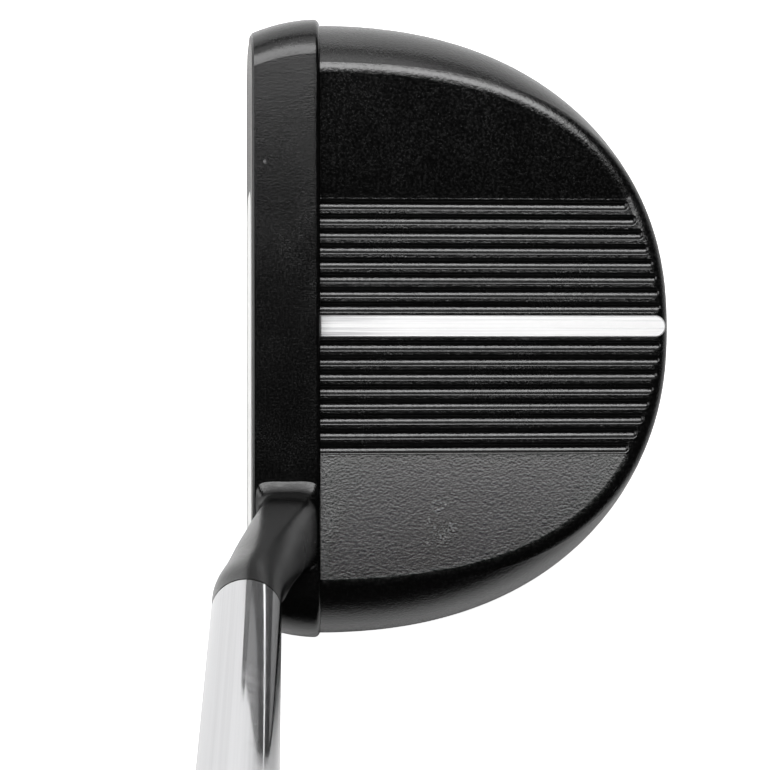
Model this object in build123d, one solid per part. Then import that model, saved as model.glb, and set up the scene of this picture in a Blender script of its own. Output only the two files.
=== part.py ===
from build123d import *
from math import cos, exp, pi, radians, sin, sqrt, tan
import os

# Mallet putter for a right-handed player. Millimetres. +Z is up, +Y runs from the face to the rear
# of the head, +X runs from the toe to the heel. The origin is on the sole, below the alignment line.

# Head
HEAD_WIDTH = 104.8          # toe to heel, across the front bar
HEAD_DEPTH = 70.2           # face to rear
BAR_TOP = 25.0              # height of the front bar
BAR_DEPTH = 11.1            # face to rear of the front bar, measured at its top
FACE_TOP_Y = -24.0          # the face's top edge
LOFT = 3.5                  # degrees
BAR_END_DRAW = 2.35         # each end of the bar curves in by this much at the face
BAR_REAR_ROUND = 1.0        # round on the bar's rear edges
EDGE_BREAK = 0.35           # chamfer round the face
SEAM_Y = FACE_TOP_Y + BAR_DEPTH

# Rear body: half a superellipse in plan, with a rolled shoulder round a shallow valley
BODY_HALF_WIDTH = 51.9
BODY_DEPTH = HEAD_DEPTH - BAR_DEPTH
BODY_POWER = 2.25
CREST_INSET = 11.2          # how far the shoulder draws in, at the toe and heel
CREST_INSET_REAR = 2.3
CREST_ROUND = 3.0
WAIST_Z = 11.0              # where the body is widest
VALLEY_Z = 21.0             # the flat middle of the valley
VALLEY_HALF = 21.3
VALLEY_SLOPE = 9.0          # degrees, each side of the flat

# Grooves beside the alignment bar
GROOVES_EACH_SIDE = 8
GROOVE_PITCH = 2.43
GROOVE_FIRST = 3.2          # centre line of the groove nearest the alignment bar
GROOVE_WIDTH = 1.9          # with the rounded edges
GROOVE_RADIUS = 0.82
GROOVE_DEPTH = 0.65
GROOVE_ROUND = 0.22
GROOVE_FIELD_WIDTH = 43.5   # half width and depth of the superellipse that the grooves end on
GROOVE_FIELD_DEPTH = 57.4
GROOVE_FIELD_POWER = 2.1

# Alignment bar, let into the rear body
INLAY_WIDTH = 3.7
INLAY_HEIGHT = 3.0
INLAY_END_Y = FACE_TOP_Y + 68.9
INLAY_GAP = 0.12

# Face insert: runs from the toe side of the face to beneath the neck
INSERT_TOE_X = -23.0
INSERT_HEEL_X = 38.0
INSERT_LOW_Z = 3.2
INSERT_HIGH_Z = 19.6
INSERT_THICKNESS = 4.6
INSERT_CORNER = 5.0
ADHESIVE = 0.2

# Fasteners inside the head
SCREW_X = (-13.0, 19.0)
SCREW_Z = 11.5
SCREW_RADIUS = 2.0
SCREW_HEAD_RADIUS = 3.5
SCREW_LENGTH = 12.0
WASHER = 0.9
DOWEL_X = (-44.0, 44.0)
DOWEL_Z = 12.0
DOWEL_RADIUS = 2.0
DOWEL_LENGTH = 12.0
INLAY_SCREW_Y = (-8.0, 30.0)
INLAY_SCREW_RADIUS = 1.5
INLAY_SCREW_HEAD = 2.75
CLEARANCE = 0.05

# Sole weights
WEIGHT_X = 35.0
WEIGHT_Y = -1.0
WEIGHT_HEAD_RADIUS = 8.0
WEIGHT_HEAD_HEIGHT = 3.0
WEIGHT_STEM_RADIUS = 6.0
WEIGHT_TOP_Z = 10.4
WEIGHT_RECESS = 0.4
WEIGHT_HEX = 5.0
RING_SECTION = 1.1

# Sole relief milled out behind the weights
RELIEF_Y = 8.0
RELIEF_HALF_WIDTH = 27.0
RELIEF_LENGTH = 26.0
RELIEF_DEPTH = 3.2

# Neck and shaft
SHAFT_LEAN = 20.0           # degrees from upright: a lie of 70 degrees
NECK_BASE_X = 33.6
NECK_BASE_HALF = 5.7
NECK_FRONT_Y = FACE_TOP_Y + 1.4
NECK_REAR_Y = FACE_TOP_Y + 10.3
NECK_FILLET = 0.9           # the height in which the fillet fades to about a third
NECK_COLLAR = 3.5           # the neck's last part is round and in line with the shaft
NECK_TOP = (40.3, FACE_TOP_Y + 0.3, 73.8)
SHAFT_RADIUS = 4.7
SHAFT_WALL = 0.5
SPUD_LENGTH = 26.0
BOND = 0.12
SEAM_BEAD = 0.3
CLUB_LENGTH = 864.0         # 34 inches, along the shaft from the sole to the cap
STEP_START = 190.0
STEP_PITCH = 38.0
STEP_COUNT = 10
BUTT_RADIUS = 7.6

# Grip
GRIP_LENGTH = 268.0
GRIP_CAP = 4.0
TAPE = 0.15
GRIP_BUTT = (12.4, 14.6, 2.2, 9.8)      # half width, half height, depth of the flat, axis to flat
GRIP_STATIONS = [
    (60.0, 9.8, 10.6, 1.3, 8.9),
    (150.0, 10.9, 12.2, 1.8, 9.3),
    (215.0, 11.6, 14.4, 2.2, 9.6),
    (250.0, 12.2, 15.4, 2.3, 9.8),
]

AXIS = Vector(sin(radians(SHAFT_LEAN)), 0, cos(radians(SHAFT_LEAN)))
SHAFT_END = CLUB_LENGTH - NECK_TOP[2] / cos(radians(SHAFT_LEAN)) - GRIP_CAP


def shaft_plane(distance):
    """The plane across the shaft at a distance above the top of the neck, with x towards the heel."""
    origin = Vector(*NECK_TOP) + AXIS * distance
    return Plane(origin=origin, x_dir=(AXIS.Z, 0, -AXIS.X), z_dir=AXIS)


def rod(plane, radius, length):
    """A round bar that starts on a plane and runs along its normal."""
    return extrude(plane * Circle(radius), length)


def tube(plane, outer, inner, length):
    """A round tube that starts on a plane and runs along its normal."""
    return extrude(plane * (Circle(outer) - Circle(inner)), length)


# ---------------------------------------------------------------- front bar


def bar_profile(y, half_width):
    """The bar's outline seen from the face: flat top and sole, with quarter ellipses at the ends."""
    roll_x, roll_z = 8.0, 13.0
    toe_x, toe_z = 9.0, 4.5
    waist = BAR_TOP - roll_z
    top = half_width - roll_x
    sole = half_width - toe_x
    foot = half_width - 0.6
    plane = Plane(origin=(0, y, 0), x_dir=(1, 0, 0), z_dir=(0, -1, 0))
    with BuildSketch(plane) as sketch:
        with BuildLine():
            Line((-top, BAR_TOP), (top, BAR_TOP))
            EllipticalCenterArc((top, waist), roll_x, roll_z, 0, arc_size=90)
            Line((half_width, waist), (foot, toe_z))
            EllipticalCenterArc((sole, toe_z), toe_x - 0.6, toe_z, -90, arc_size=90)
            Line((sole, 0), (-sole, 0))
            EllipticalCenterArc((-sole, toe_z), toe_x - 0.6, toe_z, 180, arc_size=90)
            Line((-foot, toe_z), (-half_width, waist))
            EllipticalCenterArc((-top, waist), roll_x, roll_z, 90, arc_size=90)
        make_face()
    return sketch.sketch.face()


def bar_blank():
    """The bar before its pockets: curved ends, a face laid back by the loft, and broken edges."""
    sections = []
    for from_seam in (0.0, 4.0, 8.0, 13.8):
        half_width = HEAD_WIDTH / 2 - BAR_END_DRAW * (from_seam / BAR_DEPTH) ** 2
        sections.append(bar_profile(SEAM_Y - from_seam, half_width))
    blank = loft(sections)
    rear_rim = blank.faces().sort_by(Axis.Y)[-1].edges()
    blank = fillet(rear_rim, BAR_REAR_ROUND)
    face_plane = Plane(
        origin=(0, FACE_TOP_Y, BAR_TOP),
        x_dir=(1, 0, 0),
        z_dir=(0, -cos(radians(LOFT)), sin(radians(LOFT))),
    )
    blank = blank - extrude(face_plane * Rectangle(200, 100), 20)
    rim = blank.faces().sort_by(Axis.Y)[0].edges()
    return chamfer(rim, EDGE_BREAK)


def neck_section(height):
    """The neck at a height above the bar: a rounded rectangle that becomes the collar's circle."""
    collar = Vector(*NECK_TOP) - AXIS * NECK_COLLAR
    rise = max(0.0, height / (collar.Z - BAR_TOP))
    left = 1 - rise
    fillet_here = min(1.0, exp(-height / NECK_FILLET))
    middle = NECK_BASE_X + (collar.X - NECK_BASE_X) * (0.65 * rise + 0.35 * rise**3)
    half = SHAFT_RADIUS + (NECK_BASE_HALF - SHAFT_RADIUS) * left**1.5
    toe = middle - half - 2.4 * fillet_here
    heel = middle + half + 1.1 * fillet_here
    front = collar.Y - SHAFT_RADIUS + (NECK_FRONT_Y - collar.Y + SHAFT_RADIUS) * left - 0.9 * fillet_here
    rear = collar.Y + SHAFT_RADIUS + (NECK_REAR_Y - collar.Y - SHAFT_RADIUS) * left + 0.6 * fillet_here
    power = 2 + 2.5 * left**1.75 + 3 * fillet_here
    lean = radians(SHAFT_LEAN) * rise**3
    centre = ((toe + heel) / 2, (front + rear) / 2, BAR_TOP + height)
    plane = Plane(origin=centre, x_dir=(cos(lean), 0, -sin(lean)), z_dir=(sin(lean), 0, cos(lean)))
    half_x = (heel - toe) / 2
    half_y = (rear - front) / 2
    return plane * rounded_outline(half_x, half_y, power)


def rounded_outline(half_x, half_y, power):
    """A flat face bounded by a whole superellipse."""
    points = [superellipse_point(half_x, half_y, power, 2 * pi * i / 24) for i in range(24)]
    return make_face(Spline(points, periodic=True))


def superellipse_point(half_x, half_y, power, angle):
    """A point where |x/half_x| to the power plus |y/half_y| to the power is 1."""
    c = cos(angle)
    s = sin(angle)
    x = half_x * abs(c) ** (2 / power) * (1 if c >= 0 else -1)
    y = half_y * abs(s) ** (2 / power) * (1 if s >= 0 else -1)
    return (x, y)


def neck():
    """The neck with its spud, which is the post that the shaft slides over."""
    collar_height = NECK_TOP[2] - NECK_COLLAR * AXIS.Z - BAR_TOP
    heights = (-0.8, 0.0, 0.4, 1.0, 2.0, 4.5, 9.0, 15.0, 22.0, 30.0, 38.0, collar_height)
    sections = [neck_section(height) for height in heights]
    for below in (NECK_COLLAR / 2, 0):
        sections.append(shaft_plane(-below) * rounded_outline(SHAFT_RADIUS, SHAFT_RADIUS, 2))
    spud = rod(shaft_plane(-3), SHAFT_RADIUS - SHAFT_WALL - BOND, SPUD_LENGTH + 3)
    return loft(sections) + spud


def insert_outline(low_offset):
    """The insert's outline on the face, grown by an offset."""
    width = INSERT_HEEL_X - INSERT_TOE_X + 2 * low_offset
    height = INSERT_HIGH_Z - INSERT_LOW_Z + 2 * low_offset
    return RectangleRounded(width, height, INSERT_CORNER + low_offset)


def face_point(height, depth):
    """The y of a point that is a height up the face and a depth behind it."""
    return FACE_TOP_Y - (BAR_TOP - height) * tan(radians(LOFT)) + depth


def insert_block(depth_from, depth_to, offset):
    """A slab parallel to the face with the insert's outline."""
    middle_x = (INSERT_HEEL_X + INSERT_TOE_X) / 2
    middle_z = (INSERT_HIGH_Z + INSERT_LOW_Z) / 2
    inward = Vector(0, cos(radians(LOFT)), -sin(radians(LOFT)))
    start = Vector(middle_x, face_point(middle_z, 0), middle_z) + inward * depth_from
    plane = Plane(origin=start, x_dir=(-1, 0, 0), z_dir=inward)
    return extrude(plane * insert_outline(offset), depth_to - depth_from)


def into_body(x, z, y_from, radius, length):
    """A round bar that runs towards the rear."""
    return rod(Plane(origin=(x, y_from, z), x_dir=(1, 0, 0), z_dir=(0, 1, 0)), radius, length)


def washer_seat_y():
    """The seat of the body screws' washers, a counterbore in the floor of the insert's pocket."""
    return SEAM_Y - (SCREW_LENGTH - 9.0)


def front_bar():
    """The smooth bar with its neck, the insert's pocket, and the holes for screws and dowels."""
    bar = bar_blank() + neck()
    bar = bar - insert_block(-3, INSERT_THICKNESS + ADHESIVE, CLEARANCE)
    seat = washer_seat_y()
    for x in SCREW_X:
        bar = bar - into_body(x, SCREW_Z, seat - 10, SCREW_HEAD_RADIUS + 0.3, 10)
        bar = bar - into_body(x, SCREW_Z, seat - 1, SCREW_RADIUS + 0.2, 10)
    for x in DOWEL_X:
        bar = bar - into_body(x, DOWEL_Z, SEAM_Y - DOWEL_LENGTH / 2, DOWEL_RADIUS, 10)
    return bar


def face_insert():
    """The moulded striking insert, flush with the face."""
    return insert_block(0, INSERT_THICKNESS, 0)


def insert_adhesive():
    """The film that bonds the insert, cut out round the screw heads."""
    film = insert_block(INSERT_THICKNESS, INSERT_THICKNESS + ADHESIVE, 0)
    for x in SCREW_X:
        film = film - into_body(x, SCREW_Z, FACE_TOP_Y - 5, SCREW_HEAD_RADIUS + 0.5, 20)
    return film


# ---------------------------------------------------------------- rear body


def half_outline(z, half_width, depth, power):
    """A flat face bounded by the seam line and half a superellipse behind it."""
    steps = 24
    points = [superellipse_point(half_width, depth, power, pi * i / steps) for i in range(steps + 1)]
    with BuildSketch(Plane(origin=(0, SEAM_Y, z))) as sketch:
        with BuildLine():
            Spline(points)
            Line(points[-1], points[0])
        make_face()
    return sketch.sketch.face()


def body_section(z):
    """The body's outline at a height: full at the waist, drawn in above and below it."""
    if z >= WAIST_Z:
        t = (z - WAIST_Z) / 13.6
        inset = 1 - (1 - t**1.7) ** (1 / 1.7)
        half_width = BODY_HALF_WIDTH - CREST_INSET * inset
        return half_outline(z, half_width, BODY_DEPTH - CREST_INSET_REAR * inset, BODY_POWER)
    t = (WAIST_Z - z) / 11.4
    inset = 1 - sqrt(1 - t**2)
    return half_outline(z, BODY_HALF_WIDTH - 7.0 * inset, BODY_DEPTH - 8.0 * inset, BODY_POWER)


def body_blank():
    """The lofted body, with the valley cut along its top."""
    heights = (0.0, 1.5, 4.0, 7.5, WAIST_Z, 14.0, 17.0, 19.5, 21.5, 23.0, 24.0, 24.5)
    blank = loft([body_section(z) for z in heights])
    edge = 60.0
    edge_z = VALLEY_Z + (edge - VALLEY_HALF) * tan(radians(VALLEY_SLOPE))
    plane = Plane(origin=(0, SEAM_Y - 5, 0), x_dir=(1, 0, 0), z_dir=(0, -1, 0))
    corners = [
        (-edge, edge_z),
        (-VALLEY_HALF, VALLEY_Z),
        (VALLEY_HALF, VALLEY_Z),
        (edge, edge_z),
        (edge, 40),
        (-edge, 40),
    ]
    body = blank - extrude(plane * make_face(Polyline(corners, close=True)), -90)
    crest = body.edges().filter_by(lambda edge: edge.bounding_box().min.Z > VALLEY_Z - 0.1)
    crest = crest.filter_by(lambda edge: edge.bounding_box().max.Y > SEAM_Y + 1)
    crest = crest.filter_by(lambda edge: abs(abs(edge.center().X) - VALLEY_HALF) > 0.1)
    return fillet(crest, CREST_ROUND)


def groove_end(x):
    """The y where the groove at x ends, on a superellipse just inside the shoulder."""
    share = (abs(x) / GROOVE_FIELD_WIDTH) ** GROOVE_FIELD_POWER
    return SEAM_Y + GROOVE_FIELD_DEPTH * (1 - share) ** (1 / GROOVE_FIELD_POWER)


def groove_profile(side):
    """Half of a groove's section: a ball cutter's arc, rounded over where it meets the valley."""
    rise = GROOVE_RADIUS - GROOVE_DEPTH                     # the arc's centre is this far above the valley
    reach = sqrt((GROOVE_RADIUS + GROOVE_ROUND) ** 2 - (rise + GROOVE_ROUND) ** 2)
    share = GROOVE_RADIUS / (GROOVE_RADIUS + GROOVE_ROUND)
    meet = (side * reach * share, VALLEY_Z + rise - (rise + GROOVE_ROUND) * share)
    low = radians(40)                                       # a point half way round each arc
    lip = radians(10)                                       # the slope at which it runs out
    low_point = (side * GROOVE_RADIUS * sin(low), VALLEY_Z + rise - GROOVE_RADIUS * cos(low))
    high_point = (side * (reach - GROOVE_ROUND * sin(low)), VALLEY_Z - GROOVE_ROUND * (1 - cos(low)))
    lip_point = (side * (reach - GROOVE_ROUND * sin(lip)), VALLEY_Z - GROOVE_ROUND * (1 - cos(lip)))
    outer = (lip_point[0] + side * 0.2, lip_point[1] + 0.2 * tan(lip))
    with BuildSketch(Plane(origin=(0, SEAM_Y - 1, 0), x_dir=(1, 0, 0), z_dir=(0, -1, 0))) as sketch:
        with BuildLine():
            ThreePointArc((0, VALLEY_Z - GROOVE_DEPTH), low_point, meet)
            ThreePointArc(meet, high_point, lip_point)
            Line(lip_point, outer)
            Line(outer, (outer[0], VALLEY_Z + 0.5))
            Line((outer[0], VALLEY_Z + 0.5), (0, VALLEY_Z + 0.5))
            Line((0, VALLEY_Z + 0.5), (0, VALLEY_Z - GROOVE_DEPTH))
        make_face()
    return sketch.sketch.face()


def groove_cutter(x):
    """The space a ball-ended milling cutter leaves: straight, with a round rear end."""
    length = groove_end(x) - GROOVE_WIDTH / 2 - SEAM_Y + 1
    halves = [groove_profile(side) for side in (-1, 1)]
    slot = extrude(halves[0] + halves[1], -length)
    nose = revolve(Pos(0, length, 0) * halves[1], Axis((0, SEAM_Y - 1 + length, 0), (0, 0, 1)), 180)
    return Pos(x, 0, 0) * (slot + nose)


def groove_positions():
    """The x of each groove, toe side and heel side."""
    for index in range(GROOVES_EACH_SIDE):
        x = GROOVE_FIRST + GROOVE_PITCH * index
        yield -x
        yield x


def inlay_shape(gap, bottom, top):
    """The alignment bar's shape: straight sides and a round rear end, grown by a gap."""
    half = INLAY_WIDTH / 2 + gap
    end_centre = INLAY_END_Y - INLAY_WIDTH / 2
    with BuildSketch(Plane(origin=(0, 0, bottom))) as sketch:
        with BuildLine():
            Line((-half, SEAM_Y), (half, SEAM_Y))
            Line((half, SEAM_Y), (half, end_centre))
            ThreePointArc((half, end_centre), (0, end_centre + half), (-half, end_centre))
            Line((-half, end_centre), (-half, SEAM_Y))
        make_face()
    return extrude(sketch.sketch.face(), top - bottom)


def weight_pocket(x):
    """A stepped hole in the sole for a weight's head, its ring and its threaded stem."""
    base = Plane(origin=(x, WEIGHT_Y, 0))
    pocket = rod(base, WEIGHT_HEAD_RADIUS + 0.1, WEIGHT_RECESS + WEIGHT_HEAD_HEIGHT)
    pocket = pocket + rod(base, WEIGHT_STEM_RADIUS + 1.6, WEIGHT_RECESS + WEIGHT_HEAD_HEIGHT + RING_SECTION)
    return pocket + rod(base, WEIGHT_STEM_RADIUS + CLEARANCE, WEIGHT_TOP_Z + 0.4)


def rear_body():
    """The grained body with its grooves, the slot for the alignment bar, and its holes."""
    body = body_blank()
    cutters = [groove_cutter(x) for x in groove_positions()]
    body = body - cutters
    inlay_floor = VALLEY_Z - INLAY_HEIGHT
    body = body - inlay_shape(INLAY_GAP, inlay_floor, VALLEY_Z + 1)
    for y in INLAY_SCREW_Y:
        base = Plane(origin=(0, y, 0))
        body = body - rod(base, INLAY_SCREW_RADIUS + 0.15, inlay_floor + 1)
        body = body - rod(base, INLAY_SCREW_HEAD + 0.25, inlay_floor - 5)
    for side in (-1, 1):
        body = body - weight_pocket(side * WEIGHT_X)
    for x in SCREW_X:
        body = body - into_body(x, SCREW_Z, SEAM_Y - 1, SCREW_RADIUS + CLEARANCE, 11)
    for x in DOWEL_X:
        body = body - into_body(x, DOWEL_Z, SEAM_Y - 1, DOWEL_RADIUS, 1 + DOWEL_LENGTH / 2)
    relief = half_outline(-1, RELIEF_HALF_WIDTH, RELIEF_LENGTH, 2.6)
    relief = Pos(0, RELIEF_Y - SEAM_Y, 0) * extrude(relief, RELIEF_DEPTH + 1)
    return body - relief


def alignment_inlay():
    """The bright bar, with a tapped hole beneath for each of its screws."""
    bar = inlay_shape(0, VALLEY_Z - INLAY_HEIGHT, VALLEY_Z)
    bar = chamfer(bar.faces().sort_by(Axis.Z)[-1].edges(), 0.2)
    for y in INLAY_SCREW_Y:
        bar = bar - rod(Plane(origin=(0, y, VALLEY_Z - INLAY_HEIGHT)), INLAY_SCREW_RADIUS + CLEARANCE, 2.4)
    return bar


def cap_screw(plane, radius, head_radius, head_height, length, hexagon):
    """A socket head screw: the plane is the underside of the head, and the shank runs along its normal."""
    shank = rod(plane, radius, length)
    head = extrude(plane * Circle(head_radius), -head_height)
    top = head.faces().sort_by(Axis(plane.origin, plane.z_dir))[0]
    head = chamfer(top.edges(), 0.3)
    socket_plane = plane.offset(-head_height)
    socket = extrude(socket_plane * RegularPolygon(hexagon / 2, 6, major_radius=False), head_height * 0.6)
    return head + shank - socket


def body_screws():
    """The two screws that pull the rear body against the bar, hidden behind the insert."""
    screws = []
    for x in SCREW_X:
        seat = Plane(origin=(x, washer_seat_y() - WASHER, SCREW_Z), x_dir=(1, 0, 0), z_dir=(0, 1, 0))
        screws.append(cap_screw(seat, SCREW_RADIUS, SCREW_HEAD_RADIUS, 2.6, SCREW_LENGTH, 2.5))
    return Compound(children=screws)


def screw_washers():
    """The washers under the body screws' heads."""
    washers = []
    for x in SCREW_X:
        start = Plane(origin=(x, washer_seat_y() - WASHER, SCREW_Z), x_dir=(1, 0, 0), z_dir=(0, 1, 0))
        washers.append(tube(start, SCREW_HEAD_RADIUS, SCREW_RADIUS + 0.1, WASHER))
    return Compound(children=washers)


def body_dowels():
    """The two pins that locate the rear body on the bar."""
    pins = []
    for x in DOWEL_X:
        pin = into_body(x, DOWEL_Z, SEAM_Y - DOWEL_LENGTH / 2 + 0.1, DOWEL_RADIUS, DOWEL_LENGTH - 0.2)
        pins.append(chamfer(pin.edges().filter_by(GeomType.CIRCLE), 0.4))
    return Compound(children=pins)


def inlay_screws():
    """The two small screws that hold the alignment bar down from below."""
    screws = []
    for y in INLAY_SCREW_Y:
        seat = Plane(origin=(0, y, VALLEY_Z - INLAY_HEIGHT - 5))
        screws.append(cap_screw(seat, INLAY_SCREW_RADIUS, INLAY_SCREW_HEAD, 3.0, 7.2, 2.5))
    return Compound(children=screws)


def sole_weight(side):
    """A screw-in weight: wide head with a hexagon socket, threaded stem."""
    seat = Plane(origin=(side * WEIGHT_X, WEIGHT_Y, WEIGHT_RECESS + WEIGHT_HEAD_HEIGHT))
    stem = WEIGHT_TOP_Z - WEIGHT_RECESS - WEIGHT_HEAD_HEIGHT
    return cap_screw(seat, WEIGHT_STEM_RADIUS, WEIGHT_HEAD_RADIUS, WEIGHT_HEAD_HEIGHT, stem, WEIGHT_HEX)


def weight_ring(side):
    """The rubber ring that stops a weight from rattling loose."""
    seat = Plane(origin=(side * WEIGHT_X, WEIGHT_Y, WEIGHT_RECESS + WEIGHT_HEAD_HEIGHT))
    return tube(seat, WEIGHT_STEM_RADIUS + 1.5, WEIGHT_STEM_RADIUS + 0.2, RING_SECTION)


# ---------------------------------------------------------------- shaft and grip


def shaft_radius(distance):
    """The shaft's outer radius: a parallel tip, then equal steps up to the butt."""
    if distance < STEP_START:
        return SHAFT_RADIUS
    step = min(STEP_COUNT, 1 + int((distance - STEP_START) / STEP_PITCH))
    return SHAFT_RADIUS + (BUTT_RADIUS - SHAFT_RADIUS) * step / STEP_COUNT


def shaft_profile():
    """Half the shaft's lengthwise section, with a short cone at each step."""
    blend = 1.6
    outer = [(SHAFT_RADIUS, SEAM_BEAD), (SHAFT_RADIUS, STEP_START)]
    for index in range(STEP_COUNT):
        start = STEP_START + STEP_PITCH * index
        radius = shaft_radius(start + 0.01)
        outer.append((radius, start + blend))
        end = start + STEP_PITCH if index < STEP_COUNT - 1 else SHAFT_END
        outer.append((radius, end))
    inner = [(radius - SHAFT_WALL, distance) for radius, distance in reversed(outer)]
    return outer + inner


def turned(profile):
    """Turn a lengthwise half section about the shaft's axis."""
    base = shaft_plane(0)
    section = Plane(origin=base.origin, x_dir=base.x_dir, z_dir=(0, -1, 0))
    return revolve(section * make_face(Polyline(profile, close=True)), Axis(base.origin, AXIS))


def shaft():
    """The chromed steel tube."""
    return turned(shaft_profile())


def shaft_epoxy():
    """The bond between spud and shaft, with the bead that shows as a dark line at the joint."""
    inner = SHAFT_RADIUS - SHAFT_WALL - BOND
    profile = [
        (inner, 0),
        (SHAFT_RADIUS - 0.12, 0),
        (SHAFT_RADIUS - 0.12, SEAM_BEAD),
        (inner + BOND, SEAM_BEAD),
        (inner + BOND, SPUD_LENGTH),
        (inner, SPUD_LENGTH),
    ]
    return turned(profile)


def shaft_plug():
    """The plug above the spud that keeps glue and grit out of the shaft."""
    return rod(shaft_plane(SPUD_LENGTH + 0.5), SHAFT_RADIUS - SHAFT_WALL, 8)


def grip_section(distance, half_width, half_height, flat_depth, flat_at):
    """The grip's outline: an oval with a flat for the thumbs, on the side away from the player."""
    oval = Ellipse(half_height, half_width)
    cut = Pos(-half_height) * Rectangle(2 * flat_depth, 4 * half_width)
    centre = half_height - flat_depth - flat_at
    return shaft_plane(distance) * (Pos(centre) * (oval - cut)).face()


def grip():
    """The rubber grip: slim at the bottom, with a pistol bulge under its top."""
    start = SHAFT_END - GRIP_LENGTH
    stations = [(0.0, 9.0, 9.4, 0.8, 8.6), *GRIP_STATIONS, (GRIP_LENGTH, *GRIP_BUTT)]
    body = loft([grip_section(start + station[0], *station[1:]) for station in stations])
    return body - rod(shaft_plane(start - 1), BUTT_RADIUS + TAPE, GRIP_LENGTH + 2)


def grip_tape():
    """The double-sided tape between shaft and grip."""
    return tube(shaft_plane(SHAFT_END - GRIP_LENGTH + 4), BUTT_RADIUS + TAPE, BUTT_RADIUS, GRIP_LENGTH - 4)


def grip_cap():
    """The cap on the butt: a flange on the grip's end and a plug inside the shaft, with a vent."""
    flange = extrude(grip_section(SHAFT_END, *GRIP_BUTT), GRIP_CAP, dir=AXIS)
    flange = chamfer(flange.faces().sort_by(Axis(NECK_TOP, AXIS))[-1].edges(), 1.0)
    plug = rod(shaft_plane(SHAFT_END - 8), BUTT_RADIUS - SHAFT_WALL - 0.1, 8.5)
    return flange + plug - rod(shaft_plane(SHAFT_END - 9), 1.5, 20)


nodes = {
    "front_bar": front_bar(),
    "rear_body": rear_body(),
    "alignment_inlay": alignment_inlay(),
    "inlay_screws": inlay_screws(),
    "face_insert": face_insert(),
    "insert_adhesive": insert_adhesive(),
    "body_screws": body_screws(),
    "screw_washers": screw_washers(),
    "body_dowels": body_dowels(),
    "toe_weight": sole_weight(-1),
    "heel_weight": sole_weight(1),
    "toe_weight_ring": weight_ring(-1),
    "heel_weight_ring": weight_ring(1),
    "shaft": shaft(),
    "shaft_epoxy": shaft_epoxy(),
    "shaft_plug": shaft_plug(),
    "grip_tape": grip_tape(),
    "grip": grip(),
    "grip_cap": grip_cap(),
}

os.makedirs("parts", exist_ok=True)
for name, solid in nodes.items():
    export_step(solid, f"parts/{name}.step")
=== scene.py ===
from math import cos, pi, radians, sin, tan

import bpy
import numpy as np
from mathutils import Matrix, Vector


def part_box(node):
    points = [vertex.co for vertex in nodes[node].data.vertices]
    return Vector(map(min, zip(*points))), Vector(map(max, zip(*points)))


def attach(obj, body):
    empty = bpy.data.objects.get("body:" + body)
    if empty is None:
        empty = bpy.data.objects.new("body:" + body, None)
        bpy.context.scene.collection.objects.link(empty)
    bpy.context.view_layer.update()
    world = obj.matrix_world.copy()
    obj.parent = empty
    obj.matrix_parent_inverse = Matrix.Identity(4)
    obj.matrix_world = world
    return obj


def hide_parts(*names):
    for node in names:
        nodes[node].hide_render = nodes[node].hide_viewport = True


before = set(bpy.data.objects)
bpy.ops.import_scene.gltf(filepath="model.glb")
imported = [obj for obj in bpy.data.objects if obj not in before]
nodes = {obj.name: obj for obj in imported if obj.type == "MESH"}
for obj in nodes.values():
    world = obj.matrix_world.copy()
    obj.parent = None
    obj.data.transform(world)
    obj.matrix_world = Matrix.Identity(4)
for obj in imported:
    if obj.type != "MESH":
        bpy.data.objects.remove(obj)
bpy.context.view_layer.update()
scene = bpy.context.scene


# ---------------------------------------------------------------- front bar and neck
# The bar is milled from aluminium, with the neck in one piece, blasted with fine beads and anodised
# satin black. The face was milled last, so round the insert it is bare, dull metal.

FACE_TOP_Y = -0.024         # the face's top edge
BAR_TOP = 0.025
LOFT = radians(3.5)
FACE_DEPTH = 0.00005        # a point nearer than this to the face's plane lies on the face
COATED_EDGE = 0.0001        # the coat covers this much below the bar's top
COATED_BLACK = (0.0003, 0.0003, 0.0003)
COAT_SPECK = (0.0035, 0.0035, 0.0035)
CHIP_GREY = (0.2, 0.2, 0.2)
BARE_METAL = (0.15, 0.145, 0.14)
METAL_IN_CUTS = (0.06, 0.058, 0.056)


def start_finish(name, colour, metallic, roughness):
    """A material with one Principled shader, and that shader."""
    material = bpy.data.materials.new(name)
    material.use_nodes = True
    shader = material.node_tree.nodes["Principled BSDF"]
    shader.inputs["Base Color"].default_value = (*colour, 1)
    shader.inputs["Metallic"].default_value = metallic
    shader.inputs["Roughness"].default_value = roughness
    return material, shader


def add(tree, kind, sockets=None, **settings):
    """A new shader node. Its sockets are given by name or number, each a value or a socket to link."""
    node = tree.nodes.new("ShaderNode" + kind)
    for key, value in settings.items():
        setattr(node, key, value)
    for socket, value in (sockets or {}).items():
        if isinstance(value, bpy.types.NodeSocket):
            tree.links.new(value, node.inputs[socket])
        else:
            node.inputs[socket].default_value = value
    return node


def position(tree):
    """The x, y and z of a point on the piece, in metres."""
    place = add(tree, "TexCoord").outputs["Object"]
    return tuple(add(tree, "SeparateXYZ", {0: place}).outputs)


def calculate(tree, operation, *values):
    """The result of one Math node."""
    return add(tree, "Math", dict(enumerate(values)), operation=operation).outputs[0]


def from_to(tree, value, low, high, to_low=0.0, to_high=1.0):
    """A value moved smoothly from one range to another, and held at its ends."""
    sockets = {"Value": value, "From Min": low, "From Max": high, "To Min": to_low, "To Max": to_high}
    return add(tree, "MapRange", sockets, interpolation_type="SMOOTHSTEP").outputs[0]


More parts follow.
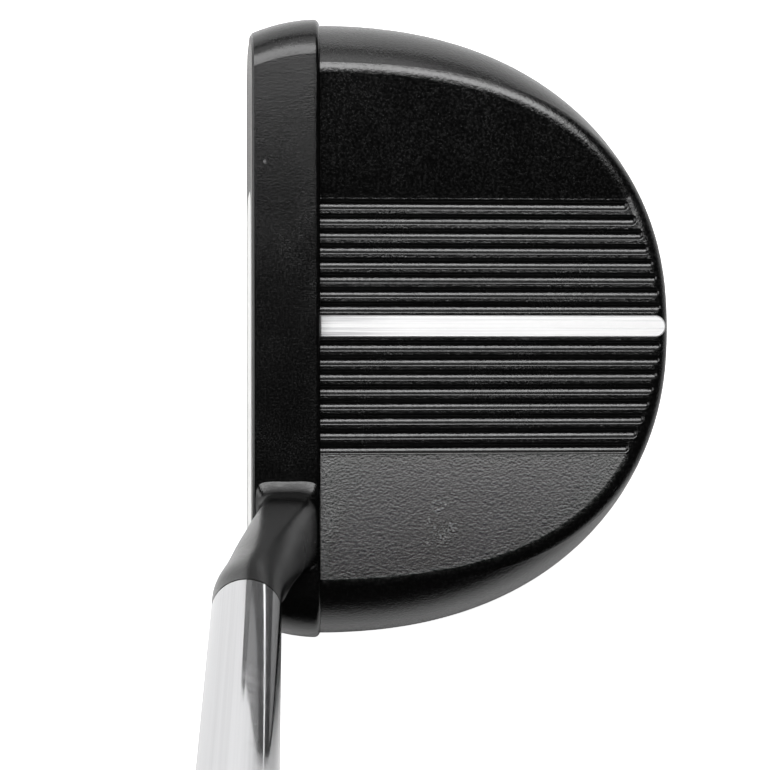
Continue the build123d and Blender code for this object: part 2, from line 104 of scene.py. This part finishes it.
def blend_colours(tree, share, first, second):
    """
    The first colour where the share is 0, and the second where it is 1. The Mix node has the same
    socket names for each kind of value, so its colours are found by number.
    """
    mix = add(tree, "Mix", {0: share}, data_type="RGBA")
    for socket, colour in ((mix.inputs[6], first), (mix.inputs[7], second)):
        if isinstance(colour, bpy.types.NodeSocket):
            tree.links.new(colour, socket)
        else:
            socket.default_value = (*colour, 1)
    return mix.outputs[2]


def start_group(name, inputs, outputs):
    """A shader group with number inputs and outputs, with its two end nodes."""
    group = bpy.data.node_groups.new(name, "ShaderNodeTree")
    for socket, value in inputs.items():
        made = group.interface.new_socket(socket, in_out="INPUT", socket_type="NodeSocketFloat")
        made.default_value = value
    for socket in outputs:
        group.interface.new_socket(socket, in_out="OUTPUT", socket_type="NodeSocketFloat")
    return group, group.nodes.new("NodeGroupInput"), group.nodes.new("NodeGroupOutput")


def use_group(tree, group, **values):
    """A group placed in a material. Underscores in the values' names stand for spaces."""
    node = tree.nodes.new("ShaderNodeGroup")
    node.node_tree = group
    for name, value in values.items():
        socket = node.inputs[name.replace("_", " ")]
        if isinstance(value, bpy.types.NodeSocket):
            tree.links.new(value, socket)
        else:
            socket.default_value = value
    return node


def make_blasted_skin():
    """
    Blasted metal under its coat. Round pebbles and fine noise stand on a slow unevenness. Height is
    about 0 to 1, and Tone is about 1.
    """
    group, entry, leave = start_group("blasted skin", {"Dents per metre": 3000.0}, ("Height", "Tone"))
    place = add(group, "TexCoord").outputs["Object"]
    fine = add(group, "TexNoise", {"Vector": place, "Detail": 3.0, "Roughness": 0.65})
    group.links.new(entry.outputs["Dents per metre"], fine.inputs["Scale"])
    slow = add(group, "TexNoise", {"Vector": place, "Scale": 140.0, "Detail": 3.0, "Roughness": 0.55})
    pebbles = add(group, "TexVoronoi", {"Vector": place})
    group.links.new(entry.outputs["Dents per metre"], pebbles.inputs["Scale"])
    domes = from_to(group, pebbles.outputs["Distance"], 0.1, 0.65, 0.22, 0.0)
    grain = calculate(group, "ADD", fine.outputs[0], domes)
    height = calculate(group, "MULTIPLY_ADD", slow.outputs[0], 0.25, grain)
    group.links.new(height, leave.inputs["Height"])
    group.links.new(from_to(group, fine.outputs[0], 0.3, 0.7, 0.8, 1.2), leave.inputs["Tone"])
    return group


def make_chips():
    """Small knocks through a coating: a few cells of a Voronoi pattern hold one ragged spot each."""
    inputs = {"Cells per metre": 120.0, "Share": 0.1, "Size": 0.1}
    group, entry, leave = start_group("chips", inputs, ("Mask",))
    place = add(group, "TexCoord").outputs["Object"]
    ragged = add(group, "TexNoise", {"Vector": place, "Scale": 2600.0, "Detail": 2.0}).outputs["Color"]
    reach = (0.0002, 0.0002, 0.0002)
    shift = add(group, "VectorMath", {0: ragged, 1: reach}, operation="MULTIPLY").outputs[0]
    bent = add(group, "VectorMath", {0: place, 1: shift}, operation="ADD").outputs[0]
    cells = add(group, "TexVoronoi", {"Vector": bent})
    group.links.new(entry.outputs["Cells per metre"], cells.inputs["Scale"])
    chosen = add(group, "SeparateColor", {0: cells.outputs["Color"]})
    kept = calculate(group, "LESS_THAN", chosen.outputs[0], entry.outputs["Share"])
    size = calculate(group, "MULTIPLY", chosen.outputs[1], entry.outputs["Size"])
    spot = calculate(group, "LESS_THAN", cells.outputs["Distance"], size)
    group.links.new(calculate(group, "MULTIPLY", kept, spot), leave.inputs["Mask"])
    return group


def make_handling():
    """Faint marks from hands and cloths: soft clouds and a few long wipes. Mask is 0 to 1."""
    group, entry, leave = start_group("handling", {"Clouds per metre": 70.0}, ("Mask",))
    place = add(group, "TexCoord").outputs["Object"]
    clouds = add(group, "TexNoise", {"Vector": place, "Detail": 4.0, "Roughness": 0.6, "Distortion": 0.6})
    group.links.new(entry.outputs["Clouds per metre"], clouds.inputs["Scale"])
    slanting = {"Vector": place, "Rotation": (0, 0, 0.5), "Scale": (1800.0, 60.0, 400.0)}
    stretched = add(group, "Mapping", slanting).outputs[0]
    wipes = add(group, "TexNoise", {"Vector": stretched, "Scale": 1.0, "Detail": 2.0}).outputs[0]
    soft = from_to(group, clouds.outputs[0], 0.35, 0.75)
    thin = from_to(group, wipes, 0.62, 0.75, 0.0, 0.5)
    group.links.new(calculate(group, "MAXIMUM", soft, thin), leave.inputs["Mask"])
    return group


def bump(tree, shader, height, distance, strength=1.0):
    """Feeds a height, in metres once multiplied by the distance, to the shader's normal."""
    node = add(tree, "Bump", {"Height": height, "Distance": distance, "Strength": strength})
    tree.links.new(node.outputs[0], shader.inputs["Normal"])


def dress(finish, *names):
    """Gives CAD nodes their finish."""
    for name in names:
        for slot in nodes[name].material_slots:
            slot.material = finish


blasted_skin = make_blasted_skin()
chips = make_chips()
handling = make_handling()


def make_satin_black():
    """
    Satin coating everywhere but on the face, which is the plane that leans back by the loft. The
    cutter's fine waves cross the bare face, and the Mapping node counts them over the piece's box.
    """
    finish, shader = start_finish("satin_black", COATED_BLACK, 0.0, 0.3)
    tree = finish.node_tree
    _, y, z = position(tree)
    face_y = calculate(tree, "MULTIPLY_ADD", z, tan(LOFT), FACE_TOP_Y - BAR_TOP * tan(LOFT))
    behind = calculate(tree, "ABSOLUTE", calculate(tree, "SUBTRACT", y, face_y))
    on_face = calculate(tree, "LESS_THAN", behind, FACE_DEPTH)
    below_edge = calculate(tree, "LESS_THAN", z, BAR_TOP - COATED_EDGE)
    bare = calculate(tree, "MULTIPLY", on_face, below_edge)
    skin = use_group(tree, blasted_skin, Dents_per_metre=3400.0)
    knocks = use_group(tree, chips, Cells_per_metre=110.0, Share=0.12, Size=0.05).outputs["Mask"]
    marks = use_group(tree, handling, Clouds_per_metre=90.0).outputs["Mask"]
    low, high = (Vector(corner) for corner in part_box("front_bar"))
    over_box = {"Vector": add(tree, "TexCoord").outputs["Object"], "Location": low, "Scale": high - low}
    over_box = add(tree, "Mapping", over_box, vector_type="TEXTURE").outputs[0]
    waves = {"Vector": over_box, "Scale": 420.0, "Distortion": 1.5, "Detail": 2.0}
    cutter = add(tree, "TexWave", waves, bands_direction="X").outputs["Fac"]
    metal = blend_colours(tree, cutter, BARE_METAL, METAL_IN_CUTS)
    coat = blend_colours(tree, from_to(tree, skin.outputs["Tone"], 0.95, 1.2), COATED_BLACK, COAT_SPECK)
    coat = blend_colours(tree, calculate(tree, "MULTIPLY", knocks, 0.5), coat, CHIP_GREY)
    tree.links.new(blend_colours(tree, bare, coat, metal), shader.inputs["Base Color"])
    tree.links.new(bare, shader.inputs["Metallic"])
    gloss = from_to(tree, marks, 0.0, 1.0, 0.18, 0.22)
    gloss = calculate(tree, "MULTIPLY", gloss, from_to(tree, skin.outputs["Tone"], 0.8, 1.2, 0.72, 1.3))
    tree.links.new(calculate(tree, "MULTIPLY_ADD", bare, 0.2, gloss), shader.inputs["Roughness"])
    cuts = calculate(tree, "MULTIPLY", bare, cutter)
    height = calculate(tree, "MULTIPLY_ADD", cuts, 0.4, skin.outputs["Height"])
    bump(tree, shader, height, 0.000026)
    return finish


dress(make_satin_black(), "front_bar")


# ---------------------------------------------------------------- face insert
# The striking insert is a slab of white moulded polymer, glued into its pocket and milled flush with
# the face. A thin film of adhesive lies behind it.

INSERT_WHITE = (0.88, 0.88, 0.87)
INSERT_SHADE = (0.84, 0.84, 0.825)
HANDLED_WHITE = (0.62, 0.62, 0.60)
ADHESIVE_AMBER = (0.45, 0.33, 0.14)
AMBER_BUBBLE = (0.55, 0.42, 0.2)
AMBER_DEEP = (0.42, 0.3, 0.12)


def make_white_insert():
    """Matt white, faintly mottled, with the fine pebbling of its mould."""
    finish, shader = start_finish("white_insert", INSERT_WHITE, 0.0, 0.5)
    tree = finish.node_tree
    place = add(tree, "TexCoord").outputs["Object"]
    rounded = {"Vector": place, "Scale": 1400.0, "Smoothness": 0.6}
    pebbles = add(tree, "TexVoronoi", rounded, feature="SMOOTH_F1").outputs["Distance"]
    mottle = add(tree, "TexNoise", {"Vector": place, "Scale": 260.0, "Detail": 3.0}).outputs[0]
    marks = use_group(tree, handling, Clouds_per_metre=55.0).outputs["Mask"]
    white = blend_colours(tree, from_to(tree, mottle, 0.3, 0.7), INSERT_WHITE, INSERT_SHADE)
    white = blend_colours(tree, calculate(tree, "MULTIPLY", marks, 0.25), white, HANDLED_WHITE)
    tree.links.new(white, shader.inputs["Base Color"])
    tree.links.new(from_to(tree, marks, 0.0, 1.0, 0.42, 0.58), shader.inputs["Roughness"])
    bump(tree, shader, pebbles, 0.00004, 0.6)
    return finish


def make_adhesive_film():
    """Cured adhesive: amber, glossy, with small bubbles."""
    finish, shader = start_finish("adhesive_film", ADHESIVE_AMBER, 0.0, 0.25)
    tree = finish.node_tree
    place = add(tree, "TexCoord").outputs["Object"]
    bubbles = add(tree, "TexVoronoi", {"Vector": place, "Scale": 900.0}).outputs["Distance"]
    amber = blend_colours(tree, from_to(tree, bubbles, 0.1, 0.4), AMBER_BUBBLE, AMBER_DEEP)
    tree.links.new(amber, shader.inputs["Base Color"])
    bump(tree, shader, bubbles, 0.00005, 0.5)
    return finish


dress(make_white_insert(), "face_insert")
dress(make_adhesive_film(), "insert_adhesive")


# ---------------------------------------------------------------- rear body
# The body behind the bar is aluminium, anodised black over a coarse, pebbly skin from its blasting.
# Its grooves are cut with a ball-ended cutter.

VALLEY_HALF = 0.0213        # the grooved middle, each side of the centre line
VALLEY_EDGE = 0.0005        # over this much the cutter's lines die out
BODY_CHIP = (0.25, 0.25, 0.25)


def make_grained_black():
    """Coarse grain on the coat, and fine lines along the grooves left by the cutter's passes."""
    finish, shader = start_finish("grained_black", COATED_BLACK, 0.0, 0.3)
    shader.inputs["Specular IOR Level"].default_value = 0.75
    tree = finish.node_tree
    place = add(tree, "TexCoord").outputs["Object"]
    skin = use_group(tree, blasted_skin, Dents_per_metre=2300.0)
    finer = use_group(tree, blasted_skin, Dents_per_metre=5200.0)
    knocks = use_group(tree, chips, Cells_per_metre=130.0, Share=0.07, Size=0.045).outputs["Mask"]
    marks = use_group(tree, handling, Clouds_per_metre=60.0).outputs["Mask"]
    lines = add(tree, "Mapping", {"Vector": place, "Scale": (5200.0, 30.0, 5200.0)}).outputs[0]
    passes = add(tree, "TexNoise", {"Vector": lines, "Scale": 1.0, "Detail": 2.0}).outputs[0]
    across = calculate(tree, "ABSOLUTE", position(tree)[0])
    grooved = from_to(tree, across, VALLEY_HALF, VALLEY_HALF + VALLEY_EDGE, 0.35, 0.0)
    passes = calculate(tree, "MULTIPLY", passes, grooved)
    coat = blend_colours(tree, from_to(tree, skin.outputs["Tone"], 1.0, 1.2), COATED_BLACK, COAT_SPECK)
    coat = blend_colours(tree, calculate(tree, "MULTIPLY", knocks, 0.5), coat, BODY_CHIP)
    tree.links.new(coat, shader.inputs["Base Color"])
    roughness = from_to(tree, marks, 0.0, 1.0, 0.19, 0.23)
    grain_gloss = from_to(tree, skin.outputs["Tone"], 0.8, 1.2, 0.75, 1.3)
    roughness = calculate(tree, "MULTIPLY", roughness, grain_gloss)
    tree.links.new(roughness, shader.inputs["Roughness"])
    grain = calculate(tree, "MULTIPLY_ADD", finer.outputs["Height"], 0.3, skin.outputs["Height"])
    bump(tree, shader, calculate(tree, "ADD", passes, grain), 0.000042)
    return finish


dress(make_grained_black(), "rear_body")


# ---------------------------------------------------------------- alignment bar
# The sighting line is a bright steel bar, brushed lengthwise and let into a slot in the body.
# Two socket screws from below hold it down.

SEAM_Y = -0.013             # where the bar meets the front bar, and the painted shade on it is darkest
SHADE_FADED_Y = 0.003              # behind this the painted shade has faded to its lightest
BRIGHT_METAL = (0.93, 0.93, 0.93)
# The next colour is the dark tone of the brush lines, deepened near the front bar by painted shade.
BRUSH_LINE_AND_SHADE_DARK = (0.42, 0.42, 0.43)
DENT_GREY = (0.5, 0.5, 0.5)
FASTENER_STEEL = (0.55, 0.54, 0.52)
FASTENER_PALE = (0.57, 0.56, 0.54)
FASTENER_DULL = (0.42, 0.41, 0.39)


def make_bright_bar():
    """Long brush lines: noise stretched along the bar, with painted shade that darkens them next to the
    taller front bar more than at the rear.
    """
    finish, shader = start_finish("bright_bar", BRIGHT_METAL, 1.0, 0.5)
    tree = finish.node_tree
    place = add(tree, "TexCoord").outputs["Object"]
    lines = add(tree, "Mapping", {"Vector": place, "Scale": (3600.0, 22.0, 3600.0)}).outputs[0]
    brush = add(tree, "TexNoise", {"Vector": lines, "Scale": 1.0, "Detail": 4.0, "Roughness": 0.6}).outputs[0]
    dents = use_group(tree, chips, Cells_per_metre=150.0, Share=0.08, Size=0.09).outputs["Mask"]
    # Painted shade: the brush lines darken towards the seam next to the taller front bar and fade towards the
    # rear.
    shade_near_bar = from_to(tree, position(tree)[1], SEAM_Y, SHADE_FADED_Y, 1.0, 0.35)
    brush_lines_and_shade = calculate(tree, "MULTIPLY", from_to(tree, brush, 0.42, 0.62), shade_near_bar)
    colour = blend_colours(tree, brush_lines_and_shade, BRIGHT_METAL, BRUSH_LINE_AND_SHADE_DARK)
    colour = blend_colours(tree, calculate(tree, "MULTIPLY", dents, 0.3), colour, DENT_GREY)
    tree.links.new(colour, shader.inputs["Base Color"])
    tree.links.new(from_to(tree, brush, 0.3, 0.7, 0.44, 0.56), shader.inputs["Roughness"])
    bump(tree, shader, brush, 0.000006)
    return finish


def make_fastener_steel():
    """Plain machined steel: pale grey, with faint clouding."""
    finish, shader = start_finish("fastener_steel", FASTENER_STEEL, 1.0, 0.34)
    tree = finish.node_tree
    marks = use_group(tree, handling, Clouds_per_metre=420.0).outputs["Mask"]
    skin = use_group(tree, blasted_skin, Dents_per_metre=4200.0)
    tree.links.new(blend_colours(tree, marks, FASTENER_PALE, FASTENER_DULL), shader.inputs["Base Color"])
    tree.links.new(from_to(tree, marks, 0.0, 1.0, 0.28, 0.45), shader.inputs["Roughness"])
    bump(tree, shader, skin.outputs["Height"], 0.000008)
    return finish


dress(make_bright_bar(), "alignment_inlay")
dress(make_fastener_steel(), "inlay_screws", "body_screws", "screw_washers", "body_dowels")


# ---------------------------------------------------------------- sole weights
# Two turned steel weights screw into the sole. Each has a hexagon socket and sits on a rubber ring,
# and its wide head shows the fine rings of the lathe.

WEIGHT_X = 0.035            # each weight's axis is this far to the side of the centre line
WEIGHT_Y = -0.001
RINGS_PER_METRE = 2600
TURNED_STEEL = (0.5, 0.5, 0.49)
TURNED_PALE = (0.56, 0.56, 0.55)
TURNED_DULL = (0.36, 0.35, 0.34)
RING_BLACK = (0.012, 0.012, 0.012)


def make_weight_steel():
    """Turned rings about each weight's own axis; the distance from the axis uses the size of x."""
    finish, shader = start_finish("weight_steel", TURNED_STEEL, 1.0, 0.32)
    tree = finish.node_tree
    x, y, _ = position(tree)
    across = calculate(tree, "SUBTRACT", calculate(tree, "ABSOLUTE", x), WEIGHT_X)
    along = calculate(tree, "SUBTRACT", y, WEIGHT_Y)
    square = calculate(tree, "MULTIPLY_ADD", along, along, calculate(tree, "MULTIPLY", across, across))
    radius = calculate(tree, "SQRT", square)
    rings = calculate(tree, "SINE", calculate(tree, "MULTIPLY", radius, 2 * pi * RINGS_PER_METRE))
    marks = use_group(tree, handling, Clouds_per_metre=260.0).outputs["Mask"]
    share = calculate(tree, "MULTIPLY_ADD", rings, 0.2, calculate(tree, "MULTIPLY", marks, 0.6))
    colour = blend_colours(tree, from_to(tree, share, -0.2, 0.8), TURNED_PALE, TURNED_DULL)
    tree.links.new(colour, shader.inputs["Base Color"])
    tree.links.new(from_to(tree, marks, 0.0, 1.0, 0.26, 0.42), shader.inputs["Roughness"])
    bump(tree, shader, rings, 0.000004)
    return finish


def make_rubber(name, colour, grains_per_metre, depth):
    """Moulded black rubber: matt, slightly mottled, with a fine grain."""
    finish, shader = start_finish(name, colour, 0.0, 0.62)
    tree = finish.node_tree
    skin = use_group(tree, blasted_skin, Dents_per_metre=grains_per_metre)
    marks = use_group(tree, handling, Clouds_per_metre=110.0).outputs["Mask"]
    dusty = tuple(2.2 * part + 0.006 for part in colour)
    tree.links.new(blend_colours(tree, marks, colour, dusty), shader.inputs["Base Color"])
    tree.links.new(from_to(tree, marks, 0.0, 1.0, 0.55, 0.74), shader.inputs["Roughness"])
    bump(tree, shader, skin.outputs["Height"], depth)
    return finish


dress(make_weight_steel(), "toe_weight", "heel_weight")
dress(make_rubber("ring_rubber", RING_BLACK, 3000.0, 0.00002), "toe_weight_ring", "heel_weight_ring")


# ---------------------------------------------------------------- shaft
# The shaft is a stepped steel tube with bright chrome plating, slid over the neck's spud and glued.
# Polishing along its length leaves hairlines. A thin bead of epoxy shows at the joint.

SHAFT_LEAN = radians(20)
CHROME = (0.64, 0.64, 0.65)
CHROME_PALE = (0.65, 0.65, 0.66)
CHROME_DULL = (0.60, 0.60, 0.61)
EPOXY_BLACK = (0.02, 0.017, 0.013)
EPOXY_DARK = (0.012, 0.011, 0.01)
EPOXY_BROWN = (0.04, 0.033, 0.025)
PLUG_BLACK = (0.03, 0.03, 0.03)


def make_chrome():
    """Chrome with hairlines along the leaning axis and faint clouds from handling."""
    finish, shader = start_finish("chrome_shaft", CHROME, 1.0, 0.08)
    tree = finish.node_tree
    place = add(tree, "TexCoord").outputs["Object"]
    upright = add(tree, "Mapping", {"Vector": place, "Rotation": (0, -SHAFT_LEAN, 0)}).outputs[0]
    stretch = add(tree, "Mapping", {"Vector": upright, "Scale": (3000.0, 3000.0, 14.0)}).outputs[0]
    hairlines = add(tree, "TexNoise", {"Vector": stretch, "Scale": 1.0, "Detail": 3.0}).outputs[0]
    marks = use_group(tree, handling, Clouds_per_metre=85.0).outputs["Mask"]
    colour = blend_colours(tree, from_to(tree, hairlines, 0.4, 0.7), CHROME_PALE, CHROME_DULL)
    tree.links.new(colour, shader.inputs["Base Color"])
    tree.links.new(from_to(tree, marks, 0.0, 1.0, 0.06, 0.14), shader.inputs["Roughness"])
    bump(tree, shader, hairlines, 0.0000006)
    return finish


def make_epoxy():
    """Dark cured epoxy, glossy and slightly uneven."""
    finish, shader = start_finish("epoxy", EPOXY_BLACK, 0.0, 0.3)
    tree = finish.node_tree
    place = add(tree, "TexCoord").outputs["Object"]
    uneven = add(tree, "TexNoise", {"Vector": place, "Scale": 900.0}).outputs[0]
    tree.links.new(blend_colours(tree, uneven, EPOXY_DARK, EPOXY_BROWN), shader.inputs["Base Color"])
    bump(tree, shader, uneven, 0.00003)
    return finish


dress(make_chrome(), "shaft")
dress(make_epoxy(), "shaft_epoxy")
dress(make_rubber("plug_rubber", PLUG_BLACK, 1500.0, 0.00003), "shaft_plug")


# ---------------------------------------------------------------- grip
# The grip is moulded rubber on double-sided tape, flat on the side for the thumbs and full at the
# back under its top. Rows of low studs cover it between two plain bands, and a cap closes the end.

GRIP_LENGTH = 0.268
GRIP_END_TO_NECK = 0.7815   # along the shaft, from the neck's top to the grip's upper end
NECK_TOP = Vector((0.0403, -0.0237, 0.0738))
BORE_RADIUS = 0.00775
LOWER_BAND = 0.012          # the plain bands at the two ends
UPPER_BAND = 0.02
BAND_FADE = 0.004
STUD_DEPTH = 0.0003
STUD_PITCH = 0.0105
STUDS_ROUND = 14
FLAT_EASE = 0.0006          # how softly the flat turns into the round
ROWS, COLUMNS, BORE_ROWS = 360, 216, 20
BLEND_ROWS = 31             # the stations are blended over this many rows
GRIP_BLACK = (0.010, 0.010, 0.0105)
CAP_BLACK = (0.008, 0.008, 0.0085)
# distance from the lower end, half width, half height, depth of the flat, axis to flat
GRIP_STATIONS = np.array([
    (0.0, 9.0, 9.4, 0.8, 8.6),
    (60.0, 9.8, 10.6, 1.3, 8.9),
    (150.0, 10.9, 12.2, 1.8, 9.3),
    (215.0, 11.6, 14.4, 2.2, 9.6),
    (250.0, 12.2, 15.4, 2.3, 9.8),
    (268.0, 12.4, 14.6, 2.2, 9.8),
]) / 1000


def around(columns):
    """Equal angles once round the grip."""
    return (2 * pi * np.arange(columns) / columns)[None, :]


def grip_surface(rows, columns):
    """
    Points on a grid, rows along the grip and columns round it. Each row is an ellipse whose flat
    side is cut at a fixed distance from the axis, with the cut's corners eased. The studs are the
    product of two slanting waves, flattened, and they fade out in the plain bands at both ends.
    """
    along = np.linspace(0, GRIP_LENGTH, rows)[:, None]
    turn = around(columns)
    kernel = np.hanning(BLEND_ROWS)
    kernel /= kernel.sum()
    smooth = []
    for k in range(1, 5):
        values = np.interp(along[:, 0], GRIP_STATIONS[:, 0], GRIP_STATIONS[:, k])
        padded = np.pad(values, BLEND_ROWS // 2, mode="reflect", reflect_type="odd")
        smooth.append(np.convolve(padded, kernel, mode="valid")[:, None])
    half_width, half_height, flat_depth, flat_at = smooth
    from_ends = np.minimum(along - LOWER_BAND, GRIP_LENGTH - UPPER_BAND - along)
    band = np.clip(from_ends / BAND_FADE, 0, 1)
    rising = 2 * pi * along / STUD_PITCH
    waves = np.sin(STUDS_ROUND * turn + rising) * np.sin(STUDS_ROUND * turn - rising)
    studs = np.clip(2.2 * waves + 0.4, 0, 1)
    sunk = STUD_DEPTH * band * (1 - studs)
    centre = half_height - flat_depth - flat_at
    across = centre + (half_height - sunk) * np.cos(turn)
    over = across + flat_at - sunk
    eased = 0.5 * (over + np.sqrt(over**2 + FLAT_EASE**2)) - 0.5 * FLAT_EASE * (over < 0)
    sideways = (half_width - sunk) * np.sin(turn)
    return across - over + eased, sideways, along


def leaning(across, sideways, along, start):
    """Grid points carried to the shaft: across is square to it towards the heel, along runs up it."""
    x = NECK_TOP.x + across * cos(SHAFT_LEAN) + (start + along) * sin(SHAFT_LEAN)
    y = NECK_TOP.y + sideways
    z = NECK_TOP.z - across * sin(SHAFT_LEAN) + (start + along) * cos(SHAFT_LEAN)
    return np.stack(np.broadcast_arrays(x, y, z), axis=-1)


def put_in_scene(name, data):
    """A new object that holds a mesh, a light or a camera."""
    holder = bpy.data.objects.new(name, data)
    scene.collection.objects.link(holder)
    return holder


def closed_tube(name, rings):
    """A mesh from rings of points that join in order, with the last ring joined to the first."""
    count, columns = rings.shape[:2]
    index = np.arange(count * columns).reshape(count, columns)
    next_ring = np.roll(index, -1, axis=0)
    quads = np.stack([index, np.roll(index, -1, axis=1), np.roll(next_ring, -1, axis=1), next_ring], axis=-1)
    mesh = bpy.data.meshes.new(name)
    mesh.from_pydata(rings.reshape(-1, 3), [], quads.reshape(-1, 4))
    mesh.shade_smooth()
    return put_in_scene(name, mesh)


def make_grip_skin():
    """The outer surface, then the round bore back down to the lower end, as one closed wall."""
    start = GRIP_END_TO_NECK - GRIP_LENGTH
    outside = leaning(*grip_surface(ROWS, COLUMNS), start)
    turn = around(COLUMNS)
    levels = np.linspace(GRIP_LENGTH, 0, BORE_ROWS)[:, None]
    bore = leaning(BORE_RADIUS * np.cos(turn), BORE_RADIUS * np.sin(turn), levels, start)
    return closed_tube("grip_skin", np.concatenate([outside, bore]))


grip_skin = make_grip_skin()
grip_skin.data.materials.append(make_rubber("grip_rubber", GRIP_BLACK, 2400.0, 0.00002))
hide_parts("grip")
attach(grip_skin, "root")
dress(make_rubber("grip_cap_rubber", CAP_BLACK, 3600.0, 0.000015), "grip_cap")

TAPE_CREAM = (0.6, 0.55, 0.42)
TAPE_PALE = (0.62, 0.57, 0.44)
TAPE_DARK = (0.5, 0.45, 0.34)


def make_tape():
    """Double-sided tape: cream paper with a faint crosswise weave."""
    finish, shader = start_finish("tape", TAPE_CREAM, 0.0, 0.7)
    tree = finish.node_tree
    threads = {"Vector": add(tree, "TexCoord").outputs["Object"], "Scale": 500.0, "Distortion": 1.0}
    weave = add(tree, "TexWave", threads, bands_direction="Z").outputs["Fac"]
    tree.links.new(blend_colours(tree, weave, TAPE_PALE, TAPE_DARK), shader.inputs["Base Color"])
    bump(tree, shader, weave, 0.00003)
    return finish


dress(make_tape(), "grip_tape")


# ---------------------------------------------------------------- floor, light and camera
# A table top, pale under the head and grey behind it and past its heel, that the camera sees as plain
# white. Two soft boxes stand on the toe side, a strong one high up and a dim one lower. A pale board
# stands in front of the face, and the rest of the room is dark.

FLOOR_HALF = 3.0
FLOOR_Z = -0.0001           # just clear of the sole
TABLE_PALE = (0.9, 0.9, 0.9)
TABLE_GREY = (0.13, 0.13, 0.13)
ROOM_DARK = (0.02, 0.02, 0.02)
BLACK = (0, 0, 0)
WHITE = (1, 1, 1)
CAMERA_PLACE = (0.0127, -0.0178, 0.2969)
CAMERA_TURN = (radians(0.62), radians(-3.24), radians(89.88))


def make_floor():
    """A flat square that the head stands on, plain white to the camera and shaded to all else."""
    ends = (-FLOOR_HALF, FLOOR_HALF)
    corners = [(x, y, FLOOR_Z) for y in ends for x in ends]
    mesh = bpy.data.meshes.new("floor")
    mesh.from_pydata(corners, [], [(0, 1, 3, 2)])
    floor = put_in_scene("floor", mesh)
    finish, shader = start_finish("table_white", TABLE_PALE, 0.0, 1.0)
    tree = finish.node_tree
    x, y, _ = position(tree)
    behind = from_to(tree, y, -0.01, 0.2)
    heelward = from_to(tree, x, 0.05, 0.25)
    far = calculate(tree, "MAXIMUM", behind, heelward)
    tree.links.new(blend_colours(tree, far, TABLE_PALE, TABLE_GREY), shader.inputs["Base Color"])
    seen = add(tree, "LightPath").outputs["Is Camera Ray"]
    tree.links.new(blend_colours(tree, seen, BLACK, WHITE), shader.inputs["Emission Color"])
    shader.inputs["Emission Strength"].default_value = 1.0
    mesh.materials.append(finish)


def soft_box(name, place, target, width, height, radiance):
    """A rectangular light that faces a target. Its power follows from how bright its front is."""
    lamp = bpy.data.lights.new(name, "AREA")
    lamp.shape = "RECTANGLE"
    lamp.size = width
    lamp.size_y = height
    lamp.energy = radiance * pi * width * height
    holder = put_in_scene(name, lamp)
    holder.location = place
    holder.rotation_euler = (Vector(target) - Vector(place)).to_track_quat("-Z", "Y").to_euler()


def make_room():
    """Dark grey all round, and white where the camera looks straight at it."""
    room = bpy.data.worlds.new("dark room")
    room.use_nodes = True
    tree = room.node_tree
    seen = add(tree, "LightPath").outputs["Is Camera Ray"]
    colour = blend_colours(tree, seen, ROOM_DARK, WHITE)
    tree.links.new(colour, tree.nodes["Background"].inputs["Color"])
    scene.world = room


def make_camera():
    """A camera 0.3 m up that looks nearly straight down, with the face on its left, the heel below."""
    camera = bpy.data.cameras.new("camera")
    camera.lens = 78.03
    camera.sensor_width = 36
    camera.clip_start = 0.01
    holder = put_in_scene("camera", camera)
    holder.location = CAMERA_PLACE
    holder.rotation_euler = CAMERA_TURN
    scene.camera = holder


make_floor()
soft_box("toe_box", (-0.68, 0.0, 1.0), (0, 0, 0), 1.6, 0.72, 6.2)
soft_box("toe_side_box", (-1.25, 0.0, 0.62), (0, 0, 0.02), 1.6, 0.75, 1.3)
soft_box("front_board", (0.0, -1.3, 0.35), (0, 0, 0.1), 1.6, 0.6, 2.8)
make_room()
make_camera()
scene.view_settings.view_transform = "Standard"
